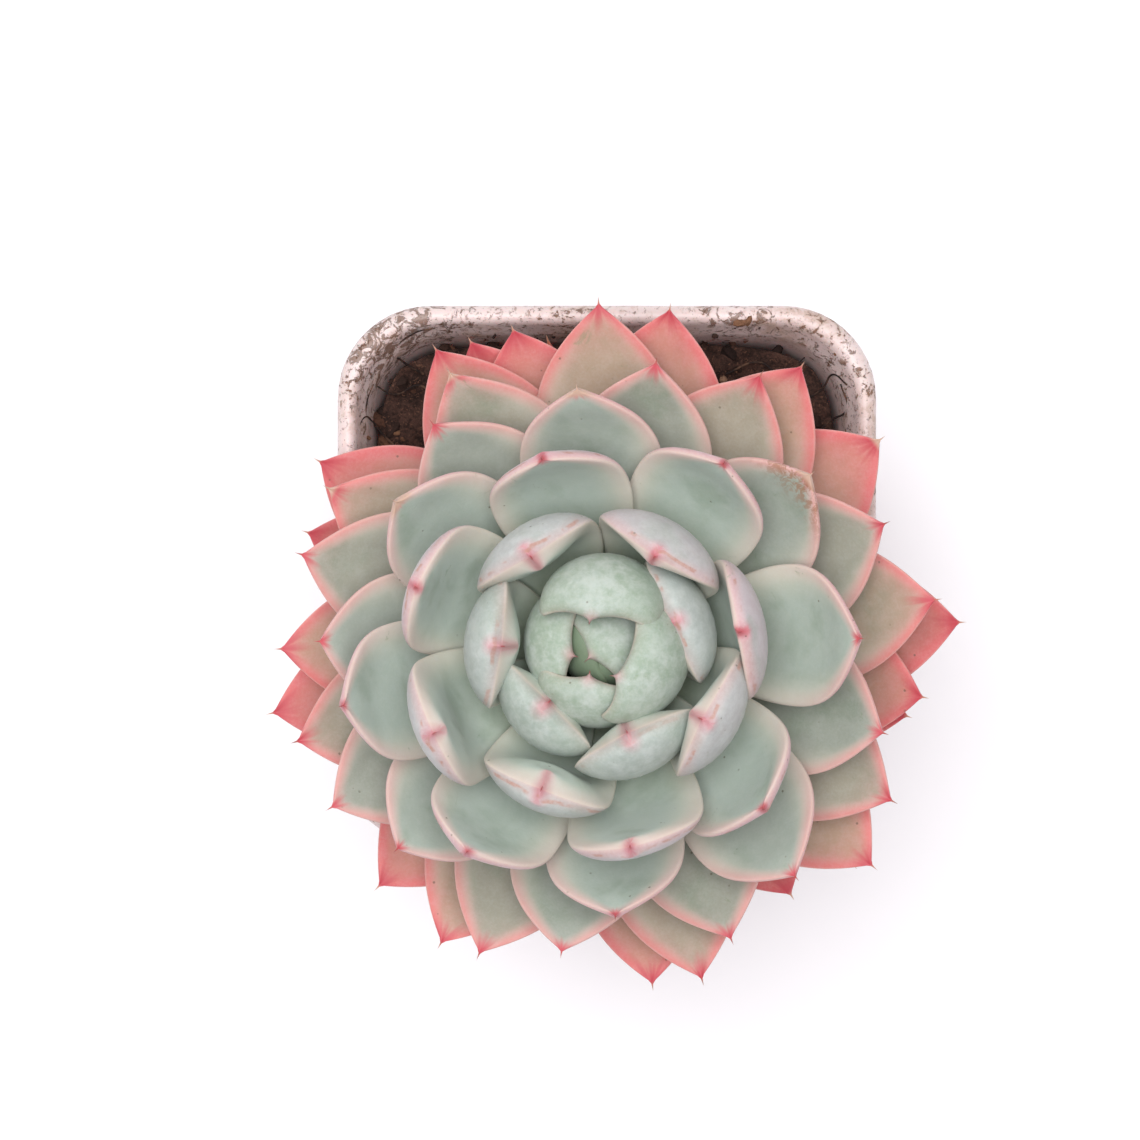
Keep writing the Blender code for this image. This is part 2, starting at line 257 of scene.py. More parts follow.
def leaf_width(level, share, widest=None, shape=None):
    """Half width along a leaf in millimetres; a shape is (widest at, roundness, bluntness)."""
    if widest is None:
        widest = HALF_WIDTH + (YOUNG_WIDTH - HALF_WIDTH) * math.exp(-max(level, 0.0) / WIDTH_LEVELS)
    if shape is None:
        shape = [by_age(pair, level) for pair in (WIDEST_AT, TIP_ROUND, TIP_BLUNT)]
    peak, round_end, blunt_end = shape
    swell = np.sin(0.5 * math.pi * np.clip(share / peak, 0.0, 1.0)) ** 1.5
    past = np.clip((share - peak) / (SHOULDER - peak), 0.0, 1.0)
    ending = (1.0 - past ** round_end) ** blunt_end
    body = np.where(share < peak, NECK_HALF_WIDTH + (widest - NECK_HALF_WIDTH) * swell, widest * ending)
    spine = SPINE_HALF * np.clip((1.0 - share) / SPINE_RUN, 0.0, 1.0) ** 1.3
    return (body ** 3 + spine ** 3) ** (1.0 / 3.0)


def cushion(level):
    """How plump the inner face of a leaf is towards its tip: 1 for the youngest, 0 for the old."""
    return math.exp(-(level / CUSHION_LEVELS) ** 4) if level > 0.0 else 0.0


def leaf_thickness(level, share, full=None):
    """Thickness at the midrib in millimetres."""
    if full is None:
        full = THICK_YOUNG - THICK_LOSS * level
    near = NECK_THICK + (full - NECK_THICK) * np.sin(0.5 * math.pi * np.clip(share / 0.55, 0.0, 1.0)) ** 1.3
    loss = 0.72 - 0.27 * cushion(level)
    far = full * (1.0 - loss * np.clip((share - 0.55) / 0.45, 0.0, 1.0) ** 1.8)
    return np.where(share < 0.55, near, far)


print("half widths of leaf 20:", leaf_width(20, np.array((0.2, 0.5, 0.8, 0.95))).round(2))

# %% Lay one leaf
BEND_ROOM = 6.0            # a leaf never wraps round the axis tighter than this, in mm
FLATTER = 1.1              # young leaves flatten across their outer half
FLATTER_LEVELS = 24.0


def lay_leaf(name, level, azimuth, path, widest=None, full=None, side_drift=0.0, seed=None, shape=None):
    """A copy of the blank laid along a path, with the numbers its skin is painted by."""
    radius, height, pitch, length = path
    steps = np.linspace(0.0, 1.0, PATH_STEPS + 1)
    r = np.interp(ALONG, steps, radius)
    h = np.interp(ALONG, steps, height)
    p = np.interp(ALONG, steps, pitch)
    half = leaf_width(level, ALONG, widest, shape)
    seed = (level * 0.618034) % 1.0 if seed is None else seed
    uneven = 1.0 + 0.035 * math.sin(37.0 * seed) * ACROSS + 0.015 * np.sin(9.0 * ALONG + 6.0 * seed)
    half = half * uneven
    thick = np.minimum(leaf_thickness(level, ALONG, full), 0.12 + 2.1 * half)
    open_part = np.clip(ALONG / 0.35, 0.0, 1.0)
    plump = np.abs(FACE)
    tip_part = np.clip((ALONG - 0.50) / 0.34, 0.0, 1.0)
    tip_part = tip_part * tip_part * (3.0 - 2.0 * tip_part)
    dished = thick * (RIM_SWELL * plump ** 0.7 - DISH * open_part * plump ** 4)
    dished = dished + thick * CUSHION * cushion(level) * tip_part * plump ** 2.2
    rounded = -BACK_SWELL * thick * plump ** (1.0 + 0.9 * cushion(level))
    swell = 0.10 * np.sin(7.0 * ALONG + 40.0 * seed) * np.sin(2.6 * ACROSS + 11.0 * seed) * np.abs(FACE)
    lift = np.where(FACE >= 0.0, dished, rounded) + swell
    away = r - lift * np.sin(p)
    tall = h + lift * np.cos(p)
    young = math.exp(-(level / FLATTER_LEVELS) ** 2) if level > 0.0 else 0.15
    flatter = 1.0 + FLATTER * young * np.clip(ALONG * 2.0 - 0.9, 0.0, 1.0)
    room = np.maximum(r, BEND_ROOM) * flatter
    turn = ACROSS * half / room
    wrap = np.maximum(away, BEND_ROOM) * flatter
    out = away - wrap * (1.0 - np.cos(turn))
    sideways = wrap * np.sin(turn) + side_drift * ALONG ** 3
    c, s = math.cos(azimuth), math.sin(azimuth)
    points = to_world(out * c - sideways * s, out * s + sideways * c, tall)
    mesh = blank.data.copy()
    mesh.name = name
    mesh.vertices.foreach_set("co", points.astype(np.float32).ravel())
    write_places(mesh, half, length, level, seed)
    mesh.shade_smooth()
    leaf = bpy.data.objects.new(name, mesh)
    bpy.context.scene.collection.objects.link(leaf)
    return leaf


# %% Numbers for the paint
CORE = (-6.0, -7.0, -8.0)              # the young leaves in the gap; their dark green is painted shade of the gap
DRY_SPINES = (22, 25, 28, 38, 43, 57)  # leaves whose spine has dried to a pale bristle
SCABBED = (28, 69)                     # leaves with a brown, healed tip


def write_places(mesh, half, length, level, seed):
    """Along, across and face; mm to tip, across and to the margin; age, seed; core, dry, scabbed."""
    to_margin = (1.0 - np.abs(ACROSS)) * half
    rows = {
        "leaf_place": np.column_stack((ALONG, ACROSS, FACE)),
        "leaf_span": np.column_stack(((1.0 - ALONG) * length, ACROSS * half, to_margin)),
        "leaf_kind": np.tile((level / 60.0, seed, 0.0), (len(ALONG), 1)),
        "leaf_marks": np.tile((level in CORE, level in DRY_SPINES, level in SCABBED), (len(ALONG), 1)),
    }
    for label, values in rows.items():
        layer = mesh.attributes.new(label, "FLOAT_VECTOR", "POINT")
        layer.data.foreach_set("vector", values.astype(np.float32).ravel())


# %% [markdown]
# ## The open leaves
# The frame knows where each leaf goes. Its direction is the direction of its points about
# the axis, and its reach is the furthest of them. A first leaf is laid with a trial reach,
# its furthest point is measured, and the difference puts the second one right.

# %% Measure a frame leaf and lay the real one over it
def measured(name):
    points = {tuple(round(c, 6) for c in v.co) for v in frame["nodes"][name].data.vertices}
    out, sideways, _ = about_axis(np.array(sorted(points)))
    azimuth = math.atan2(sideways.sum(), out.sum())
    return azimuth, float(np.hypot(out, sideways).max())


def furthest(obj):
    out, sideways, _ = about_axis([v.co for v in obj.data.vertices])
    return float(np.hypot(out, sideways).max())


leaves = {}
worst = 0.0
for name in sorted(n for n in frame["nodes"] if n.startswith("leaf_")):
    level = int(name[5:])
    azimuth, reach = measured(name)
    reach -= DRAWN_IN.get(level, 0.0)
    trial = lay_leaf("trial", level, azimuth, rule_path(level, reach - 1.0))
    better = reach - 1.0 + reach - furthest(trial)
    bpy.data.objects.remove(trial)
    leaf = lay_leaf(name.replace("leaf", "open_leaf"), level, azimuth, rule_path(level, better))
    worst = max(worst, abs(furthest(leaf) - reach))
    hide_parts(name)
    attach(leaf, "root")
    leaves[level] = leaf
print("open leaves:", len(leaves), "- largest change of reach", round(worst, 3), "mm")

# %% [markdown]
# ## The oldest leaves
# Under the rosette a few old leaves still hang on, and only their points show past the
# others. They are lower than the frame's lowest leaf, so they get levels past the last one.

# %% Old leaves that peek out
PEEKING = ((64, 161.0, 39.4, 7.6), (65, 304.0, 37.0, 7.6), (66, 116.0, 39.6, 7.6), (67, 345.0, 35.8, 7.6),
           (68, 316.0, 39.0, 7.6), (69, 103.0, 36.6, 2.0))
for level, degrees, reach, widest in PEEKING:
    leaf = lay_leaf(f"old_leaf_{level}", level, math.radians(degrees), rule_path(level, reach), widest)
    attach(leaf, "root")
    leaves[level] = leaf
print("peeking leaves:", len(PEEKING))

# %% [markdown]
# ## The shut heart
# The frame has the heart as one knob. The real one is five fat leaves that have not opened,
# folded over each other so that only their backs show, round a small dark gap in which three
# still younger ones stand. Each is a leaf from the same blank with its own steep path.

# %% The heart's leaves
#          name, azimuth, reach, angles (start, bend, hook), foot height, half width, thickness, drift
HEART_SHAPE = (0.76, 2.0, 1.25)      # broad nearly to the end, then drawn in to a point
HEART_OUT, HEART_SIDE = 0.9, 1.5     # the heart stands a little to one side of the axis, in mm
HEART_LEAVES = (
    ("heart_back", 85.0, 7.9, (30.0, 86.0, 84.0), 15.2, 7.8, 2.5, 1.3),
    ("heart_right", -20.0, 7.9, (30.0, 86.0, 84.0), 15.1, 7.6, 2.5, -2.7),
    ("heart_front", 259.0, 7.8, (30.0, 80.0, 84.0), 14.6, 7.0, 2.5, -0.6),
    ("heart_left", 172.0, 7.3, (30.0, 84.0, 86.0), 14.4, 7.2, 2.3, 1.8),
    ("heart_inner", 40.0, 6.0, (40.0, 108.0, 42.0), 8.6, 7.2, 2.0, -0.3),
    ("core_left", 205.0, 4.4, (40.0, 86.0, 70.0), 17.0, 4.8, 1.5, 0.0),
    ("core_right", 300.0, 4.4, (40.0, 84.0, 70.0), 16.8, 4.8, 1.5, 0.0),
    ("core_back", 110.0, 3.4, (46.0, 80.0, 60.0), 16.6, 4.4, 1.3, 0.0),
)
for number, (name, degrees, reach, angles, rise, widest, full, drift) in enumerate(HEART_LEAVES):
    path = bent_path(1.0, rise, [math.radians(a) for a in angles], reach)
    leaf = lay_leaf(name, -1.0 - number, math.radians(degrees), path, widest, full, drift,
                    0.13 + 0.21 * number, HEART_SHAPE)
    leaf.data.transform(Matrix.Translation(Vector((RIGHT * HEART_OUT + BACK * HEART_SIDE) * MM)))
    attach(leaf, "root")
    leaves[-1 - number] = leaf
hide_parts("bud")
print("heart leaves:", len(HEART_LEAVES))

# %% Check that skins face out
flipped = 0
for leaf in leaves.values():
    start_piece()
    bpy.context.view_layer.objects.active = leaf
    corners = np.array([v.co for v in leaf.data.vertices]) / MM
    total = 0.0
    for poly in leaf.data.polygons:
        a = corners[poly.vertices[0]]
        for i in range(1, len(poly.vertices) - 1):
            total += np.dot(a, np.cross(corners[poly.vertices[i]], corners[poly.vertices[i + 1]]))
    if total < 0.0:
        leaf.data.flip_normals()
        flipped += 1
print("turned round:", flipped)

# %% [markdown]
# ## The pot
# A small nursery pot is one thin moulded skin: a flat base with drain holes, walls that widen
# upwards, and a rolled rim. It is drawn up from its base like clay on a wheel, only square:
# the base is extruded again and again, each time moved up and widened or narrowed, out over
# the rim and down the inside again.

# %% A helper that draws a face up through rows
def draw_up(rows, centre=(0.0, 0.0, 0.0)):
    """Extrudes the selected face through rows of (half width, height) in millimetres."""
    half, height = rows[0]
    for next_half, next_height in rows[1:]:
        bpy.ops.mesh.extrude_region_move()
        share = next_half / half
        bpy.ops.transform.resize(value=(share, share, 1.0), center_override=centre)
        bpy.ops.transform.translate(value=(0.0, 0.0, (next_height - height) * MM))
        half, height = next_half, next_height


def new_piece(name):
    piece = bpy.context.object
    piece.name = name
    piece.data.name = name
    return piece


def outward(piece):
    start_piece()
    piece.select_set(True)
    bpy.context.view_layer.objects.active = piece
    edit()
    bpy.ops.mesh.remove_doubles(threshold=1e-7)
    bpy.ops.mesh.normals_make_consistent(inside=False)
    leave_edit()


# %% Draw up the pot
POT_HALF = (pot_high.x - pot_low.x) / 2.0 / MM
POT_TOP = pot_high.z / MM
BASE_HALF = 23.0
WALL = 1.3
WALL_TOP_HALF = POT_HALF - 1.7
FLOOR = 1.7
CORNER_CUT = 7.7           # bevel of the base's corners
DRAIN_PLACE = 12.0
DRAIN_RADIUS = 2.6


def wall_out(height):
    return BASE_HALF + (WALL_TOP_HALF - BASE_HALF) * height / POT_TOP


def rim_row(reach_share, drop):
    return POT_HALF - reach_share, POT_TOP - drop


pot_rows = [(wall_out(0.0) - 0.7, 0.0), (wall_out(0.0) - 0.2, 0.15), (wall_out(0.7), 0.8)]
pot_rows += [(wall_out(z), z) for z in (4.0, 16.0, 30.0, 44.0, 53.9)]
pot_rows += [(wall_out(54.4) + 0.25, 54.35), rim_row(0.75, 5.55), rim_row(0.25, 5.35), rim_row(0.03, 4.8)]
pot_rows += [rim_row(0.0, 3.0), rim_row(0.02, 1.7), rim_row(0.12, 1.0), rim_row(0.38, 0.45),
             rim_row(0.8, 0.12)]
pot_rows += [rim_row(1.3, 0.0), rim_row(1.75, 0.1), rim_row(2.1, 0.45), rim_row(2.4, 1.1), rim_row(2.65, 2.0)]
pot_rows += [(wall_out(56.6) - WALL + 0.22, 56.9), (wall_out(55.6) - WALL, 55.8)]
pot_rows += [(wall_out(z) - WALL, z) for z in (48.0, 40.0, 24.0, 4.0, 2.4)]
pot_rows += [(wall_out(FLOOR) - WALL - 0.7, FLOOR)]
start_piece()
bpy.ops.mesh.primitive_plane_add(size=2.0 * pot_rows[0][0] * MM, location=(0.0, 0.0, 0.0))
pot = new_piece("pot_body")
edit()
bpy.ops.mesh.bevel(offset=CORNER_CUT * MM, segments=11, affect="VERTICES", offset_type="OFFSET")
bpy.ops.mesh.select_all(action="SELECT")
bpy.ops.mesh.select_mode(type="FACE")
draw_up(pot_rows)
leave_edit()
outward(pot)
print("pot:", len(pot.data.polygons), "faces, top at", round(max(v.co.z for v in pot.data.vertices) / MM, 2))

# %% Cut the drain holes
start_piece()
for corner in range(4):
    x = DRAIN_PLACE * (1 if corner % 2 else -1)
    y = DRAIN_PLACE * (1 if corner > 1 else -1)
    bpy.ops.mesh.primitive_cylinder_add(vertices=32, radius=DRAIN_RADIUS * MM, depth=8.0 * MM,
                                        location=(x * MM, y * MM, 0.0))
    cutter = bpy.context.object
    cut = pot.modifiers.new("drain", "BOOLEAN")
    cut.operation = "DIFFERENCE"
    cut.solver = "EXACT"
    cut.object = cutter
    start_piece()
    bpy.context.view_layer.objects.active = pot
    bpy.ops.object.modifier_apply(modifier="drain")
    bpy.data.objects.remove(cutter)
start_piece()
pot.select_set(True)
bpy.context.view_layer.objects.active = pot
bpy.ops.object.shade_smooth_by_angle(angle=math.radians(40.0))
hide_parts("pot")
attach(pot, "root")
print("pot after the holes:", len(pot.data.polygons), "faces")

# %% [markdown]
# ## The soil
# Potting soil is a bed of dark peat with lumps, chips of bark and a few hairy roots. The bed
# is a fine grid pushed into lumps and given sides that follow the pot. The crumbs are one
# small block, chamfered and knocked out of true, set down hundreds of times.

# %% The bed of soil
SOIL_TOP = 51.2
GAP = 0.3


def wall_in(height):
    return wall_out(height) - WALL


def lumps(x, y, size, seed):
    return noise.noise(Vector((x / size, y / size, seed)))


start_piece()
bpy.ops.mesh.primitive_grid_add(x_subdivisions=110, y_subdivisions=110, size=2.0 * MM,
                                location=(0.0, 0.0, 0.0))
bed = new_piece("soil_bed")
edit()
bpy.ops.mesh.select_mode(type="EDGE")
bpy.ops.mesh.select_all(action="DESELECT")
bpy.ops.mesh.select_non_manifold()
for z in (SOIL_TOP - 4.0, 26.0, 3.2, 2.05):
    bpy.ops.mesh.extrude_region_move()
    bpy.ops.transform.translate(value=(0.0, 0.0, -1.0 * MM))
bpy.ops.mesh.edge_face_add()
leave_edit()
depths = {0: SOIL_TOP, -1: SOIL_TOP - 4.0, -2: 26.0, -3: 3.2, -4: 2.05}
for v in bed.data.vertices:
    x, y = v.co.x / MM, v.co.y / MM
    row = round(v.co.z / MM)
    z = depths[row]
    half = wall_in(z) - GAP - (0.7 if row == -4 else 0.0)
    sx = x * (1.0 - 0.1045 * abs(y) ** 6.0) * half
    sy = y * (1.0 - 0.1045 * abs(x) ** 6.0) * half
    if row == 0:
        z += 0.9 * lumps(sx, sy, 9.0, 3.0) + 0.8 * lumps(sx, sy, 3.1, 8.0) + 0.45 * lumps(sx, sy, 1.1, 5.0)
        z += 0.9 * max(abs(x), abs(y)) ** 8.0
    v.co = Vector((sx, sy, z)) * MM
outward(bed)
bed.data.shade_smooth()
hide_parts("soil")
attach(bed, "root")
print("soil bed:", len(bed.data.polygons), "faces")

# %% One crumb
start_piece()
bpy.ops.mesh.primitive_cube_add(size=1.0)
crumb = new_piece("crumb")
edit()
bpy.ops.mesh.bevel(offset=0.24, segments=1, affect="EDGES")
leave_edit()
for v in crumb.data.vertices:
    v.co *= 1.0 + 0.35 * noise.noise(v.co * 2.3 + Vector((4.0, 1.0, 7.0)))
crumb_points = np.array([v.co for v in crumb.data.vertices])
crumb_faces = [tuple(p.vertices) for p in crumb.data.polygons]
bpy.data.objects.remove(crumb)
print("crumb:", len(crumb_faces), "faces")


# %% Scatter crumbs in one piece
def scatter(name, places):
    """Copies of the crumb at (x, y, z, size, stretch, tint) in millimetres, as one mesh."""
    points, faces, tints = [], [], []
    for i, (x, y, z, size, stretch, tint) in enumerate(places):
        turn = Vector((math.sin(i * 1.7), math.cos(i * 2.3), math.sin(i * 0.9) + 0.4)).to_track_quat("Z", "Y")
        spin = np.array(turn.to_matrix())
        scaled = crumb_points * np.array((size * stretch, size, size * 0.8))
        first = sum(len(p) for p in points)
        points.append((scaled @ spin.T + np.array((x, y, z))) * MM)
        faces += [tuple(first + k for k in face) for face in crumb_faces]
        tints += [tint] * len(scaled)
    mesh = bpy.data.meshes.new(name)
    mesh.from_pydata([tuple(p) for p in np.concatenate(points)], [], faces)
    layer = mesh.attributes.new("crumb_tint", "FLOAT", "POINT")
    layer.data.foreach_set("value", np.array(tints, np.float32))
    piece = bpy.data.objects.new(name, mesh)
    bpy.context.scene.collection.objects.link(piece)
    return piece


CRUMB_COUNT = 620
dice = np.random.default_rng(11)
places = []
while len(places) < CRUMB_COUNT:
    x, y = dice.uniform(-28.5, 28.5, 2)
    if max(abs(x), abs(y)) > 28.6 or math.hypot(max(abs(x) - 18.0, 0.0), max(abs(y) - 18.0, 0.0)) > 10.2:
        continue
    if math.hypot(x - 2.0, y + 7.0) < 13.0:
        continue
    z = SOIL_TOP + 0.9 * lumps(x, y, 9.0, 3.0) + 0.8 * lumps(x, y, 3.1, 8.0)
    size = 0.5 + 1.3 * dice.random() ** 2.5
    stretch = 1.0 + (1.8 if dice.random() > 0.8 else 0.4) * dice.random()
    places.append((x, y, z + 0.2 * size, size, stretch, dice.random()))
crumbs = scatter("soil_crumbs", places)
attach(crumbs, "root")
print("soil crumbs:", len(places))

# %% Crumbs stuck to the pot
stuck = []
SPOTS = ((15.8, 29.9, 59.6, 1.0), (16.8, 30.2, 59.7, 0.8), (28.4, 25.6, 59.2, 0.7), (27.2, 26.4, 58.9, 0.5))
for x, y, z, size in SPOTS:
    stuck.append((x, y, z, size, 1.6, 0.85))
for _ in range(90):
    side = dice.choice(("left", "left", "back", "right"))
    z = dice.uniform(52.0, 59.4)
    edge = wall_in(min(z, 56.0)) - 0.1 + (0.9 if z > 58.0 else 0.0)
    slide = dice.uniform(-17.0, 20.0)
    x, y = {"left": (-edge, slide), "right": (edge, slide), "back": (slide, edge)}[side]
    stuck.append((x, y, z, 0.15 + 0.45 * dice.random() ** 2.0, 1.0 + dice.random(), dice.random()))
stuck_crumbs = scatter("stuck_crumbs", stuck)
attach(stuck_crumbs, "root")
print("stuck crumbs:", len(stuck))

# %% [markdown]
# ## Roots
# Fine dry roots lie against the inside of the pot. Each is a thin curve through points that
# wander, made a mesh once its thickness is right.

# %% Root threads
ROOTS = (
    ((-25.0, 9.0, 52.0), (-28.2, 13.0, 53.5), (-28.9, 17.0, 55.5), (-28.6, 20.5, 57.5), (-27.6, 23.0, 58.6)),
    ((-24.0, 14.0, 52.2), (-26.8, 16.5, 53.2), (-28.3, 18.6, 54.8), (-29.1, 19.0, 57.0), (-29.6, 17.0, 58.6)),
    ((-22.0, 24.0, 52.0), (-24.5, 25.6, 54.0), (-25.0, 26.8, 56.5), (-23.0, 28.6, 58.8), (-20.5, 29.6, 59.8)),
    ((-25.5, 3.0, 52.3), (-28.0, 6.0, 53.5), (-28.9, 9.5, 55.5), (-28.4, 12.0, 57.2)),
    ((24.0, 15.0, 52.3), (26.8, 18.0, 53.8), (28.3, 20.0, 56.0), (27.6, 22.6, 58.0)),
    ((22.0, 20.0, 52.4), (25.5, 22.2, 53.8), (27.0, 23.8, 56.0), (28.6, 22.5, 58.4)),
    ((14.0, 24.0, 52.4), (18.0, 25.6, 52.8), (21.0, 24.0, 53.0), (24.0, 26.0, 54.6)),
    ((-20.0, 20.0, 52.4), (-22.0, 22.6, 53.0), (-25.0, 21.5, 52.8), (-27.6, 22.8, 54.6)),
)
threads = bpy.data.curves.new("root_threads", "CURVE")
threads.dimensions = "3D"
threads.bevel_depth = 0.13 * MM
threads.bevel_resolution = 1
threads.use_fill_caps = True
for root in ROOTS:
    line = threads.splines.new("BEZIER")
    line.bezier_points.add(len(root) - 1)
    for i, (point, place) in enumerate(zip(line.bezier_points, root)):
        wander = Vector((math.sin(i * 2.1 + place[0]), math.cos(i * 1.3 + place[1]), 0.0)) * 0.35
        point.co = (Vector(place) + wander) * MM
        point.handle_left_type = "AUTO"
        point.handle_right_type = "AUTO"
        point.radius = 1.2 - 0.16 * i
start_piece()
roots = bpy.data.objects.new("root_threads", threads)
bpy.context.scene.collection.objects.link(roots)
roots.select_set(True)
bpy.context.view_layer.objects.active = roots
bpy.ops.object.convert(target="MESH")
roots = bpy.context.object
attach(roots, "root")
print("roots:", len(ROOTS), "threads,", len(roots.data.polygons), "faces")

# %% [markdown]
# ## The stem
# Below the leaves the stem is short and woody, ringed by the scars of leaves that have dropped.
# It is drawn up from a round face, leaning as it goes, with a small swelling at each scar.

# %% Draw up the stem
stem_low, stem_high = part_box("stem")
STEM_SIDES = 32
stem_rows = [(-17.6, 2.4), (-15.0, 3.3), (-12.0, 3.5), (-10.6, 3.55)]
stem_rows += [(-9.6 + 1.1 * i, 3.6 + 0.15 * i + (0.28 if i % 2 else 0.0)) for i in range(9)]
stem_rows += [(z, stem_radius(z) - 0.05) for z in (0.8, 4.0, 8.0, 12.0, 15.4)] + [(16.1, 1.2)]
start_piece()
bpy.ops.mesh.primitive_circle_add(vertices=STEM_SIDES, radius=stem_rows[0][1] * MM, fill_type="NGON")
stem = new_piece("stem_core")
edit()
bpy.ops.mesh.select_mode(type="FACE")
draw_up([(radius, z) for z, radius in stem_rows])
leave_edit()
for v in stem.data.vertices:
    out, side, height = v.co.x / MM, v.co.y / MM, v.co.z / MM + stem_rows[0][0]
    rough = 1.0 + 0.05 * noise.noise(Vector((out, side, height * 0.8)) * 0.9)
    v.co = to_world(np.array((out * rough,)), np.array((side * rough,)), np.array((height,)))[0]
outward(stem)
stem.data.shade_smooth()
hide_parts("stem")
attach(stem, "root")
print("stem:", len(stem.data.polygons), "faces, low", round(stem.data.vertices[0].co.z / MM, 1),
      "frame's", round(stem_low.z / MM, 1), "to", round(stem_high.z / MM, 1))

# %% [markdown]
# ## A way of writing paint
# A material is a sum of many small decisions: here greener, there paler, pink only near the
# tip. Written as nodes they are hard to read, so a `Wire` wraps one socket and lets plain
# Python arithmetic add the maths nodes.

# %% Wires and recipes
class Wire:
    def __init__(self, recipe, socket):
        self.recipe = recipe
        self.socket = socket

    def maths(self, operation, first, second=0.0, third=0.0):
        return self.recipe.node("ShaderNodeMath", {"operation": operation}, {0: first, 1: second, 2: third})

    def __add__(self, other):
        return self.maths("ADD", self, other)

    def __sub__(self, other):
        return self.maths("SUBTRACT", self, other)

    def __rsub__(self, other):
        return self.maths("SUBTRACT", other, self)

    def __mul__(self, other):
        return self.maths("MULTIPLY", self, other)

    def __truediv__(self, other):
        return self.maths("DIVIDE", self, other)

    def __pow__(self, other):
        return self.maths("POWER", self, other)

    __radd__ = __add__
    __rmul__ = __mul__

    def size(self):
        return self.maths("ABSOLUTE", self)

    def at_least(self, other):
        return self.maths("MAXIMUM", self, other)

    def rise(self, low, high):
        """0 below low, 1 above high, smooth between; low may be the greater of the two."""
        return self.recipe.node("ShaderNodeMapRange", {"interpolation_type": "SMOOTHSTEP"},
                                {"Value": self, "From Min": low, "From Max": high})


class Recipe:
    """One material and its nodes."""

    def __init__(self, name):
        self.material = bpy.data.materials.new(name)
        self.material.use_nodes = True
        self.tree = self.material.node_tree
        self.shader = self.tree.nodes["Principled BSDF"]

    def node(self, kind, settings=None, sockets=None, out=0):
        made = self.tree.nodes.new(kind)
        for key, value in (settings or {}).items():
            if key == "stops":
                self.set_stops(made.color_ramp, value)
            else:
                setattr(made, key, value)
        for key, value in (sockets or {}).items():
            self.feed(made.inputs[key], value)
        return Wire(self, made.outputs[out])

    def feed(self, socket, value):
        if isinstance(value, Wire):
            self.tree.links.new(value.socket, socket)
        else:
            socket.default_value = value

    def set_stops(self, ramp, stops):
        while len(ramp.elements) < len(stops):
            ramp.elements.new(0.5)
        for element, (place, colour) in zip(ramp.elements, stops):
            element.position = place
            element.color = colour if len(colour) == 4 else (*colour, 1.0)

    def blend(self, first, second, share):
        return self.node("ShaderNodeMix", {"data_type": "RGBA"}, {0: share, 6: first, 7: second}, out=2)

    def ramp(self, value, stops):
        return self.node("ShaderNodeValToRGB", {"stops": stops}, {0: value})

    def curve(self, value, stops):
        """A number that changes along stops of (place, height), heights from 0 to 1."""
        return self.node("ShaderNodeValToRGB", {"stops": [(p, (h, h, h)) for p, h in stops]}, {0: value})

    def attribute(self, label):
        """The three numbers of a named attribute."""
        vector = self.node("ShaderNodeAttribute", {"attribute_name": label}, {}, out=1)
        return [self.node("ShaderNodeSeparateXYZ", {}, {0: vector}, out=i) for i in range(3)]

    def place(self):
        return self.node("ShaderNodeTexCoord", {}, {}, out=3)

    def noise(self, per_mm, detail=2.0, roughness=0.5, warp=0.0):
        sockets = {"Vector": self.place(), "Scale": per_mm * 1000.0, "Detail": detail,
                   "Roughness": roughness, "Distortion": warp}
        return self.node("ShaderNodeTexNoise", {}, sockets)

    def bump(self, height, distance_mm):
        made = self.node("ShaderNodeBump", {}, {"Height": height, "Distance": distance_mm * MM,
                                                 "Strength": 1.0})
        self.tree.links.new(made.socket, self.shader.inputs["Normal"])

    def finish(self, colour, roughness, **constants):
        self.feed(self.shader.inputs["Base Color"], colour)
        self.feed(self.shader.inputs["Roughness"], roughness)
        for label, value in constants.items():
            self.shader.inputs[label.replace("_", " ")].default_value = value
        return self.material


def paint(red, green, blue):
    """A colour given as 0 to 255, as linear light."""
    return tuple((v / 255.0 / 12.92) if v <= 10 else ((v / 255.0 + 0.055) / 1.055) ** 2.4
                 for v in (red, green, blue)) + (1.0,)


print("middle grey:", round(paint(128, 128, 128)[0], 3))

# %% [markdown]
# ## The skin of a leaf
# A rosette leaf is blue-green under a bloom of white wax. Sun turns the wax-poor edges and
# the tip pink, and the older a leaf is, the further the pink runs in. The paint is read from
# the numbers written on each leaf: how far along, how far across, which face, how many
# millimetres to the tip and to the margin, and how old.

# %% Leaf skin: the two faces
skin = Recipe("leaf_skin")
along, across, face = skin.attribute("leaf_place")
to_tip, mm_across, to_margin = skin.attribute("leaf_span")
age, seed, _ = skin.attribute("leaf_kind")
core_shade, dry, scabbed = skin.attribute("leaf_marks")
cloudy = skin.noise(0.16, 3.0, 0.55, 0.4)
mottled = skin.noise(0.75, 4.0, 0.6, 0.2)
powder = skin.noise(3.2, 3.0, 0.7)
inner = skin.ramp(age, [
    (0.0, paint(112, 128, 108)), (0.05, paint(184, 197, 184)), (0.20, paint(182, 194, 184)),
    (0.35, paint(168, 181, 170)), (0.52, paint(150, 157, 145)), (0.66, paint(156, 153, 136)),
    (0.80, paint(176, 152, 130)), (0.95, paint(184, 144, 126))])
back = skin.ramp(age, [
    (0.0, paint(150, 166, 148)), (0.05, paint(160, 172, 162)), (0.12, paint(172, 179, 175)),
    (0.25, paint(190, 178, 182)), (0.45, paint(196, 168, 174)), (0.70, paint(196, 148, 144)),
    (1.0, paint(184, 122, 118))])
is_back = face.rise(0.05, -0.12)
base = skin.blend(inner, back, is_back)
green_foot = along.rise(0.62, 0.22)
base = skin.blend(base, paint(140, 150, 112), green_foot * 0.55)
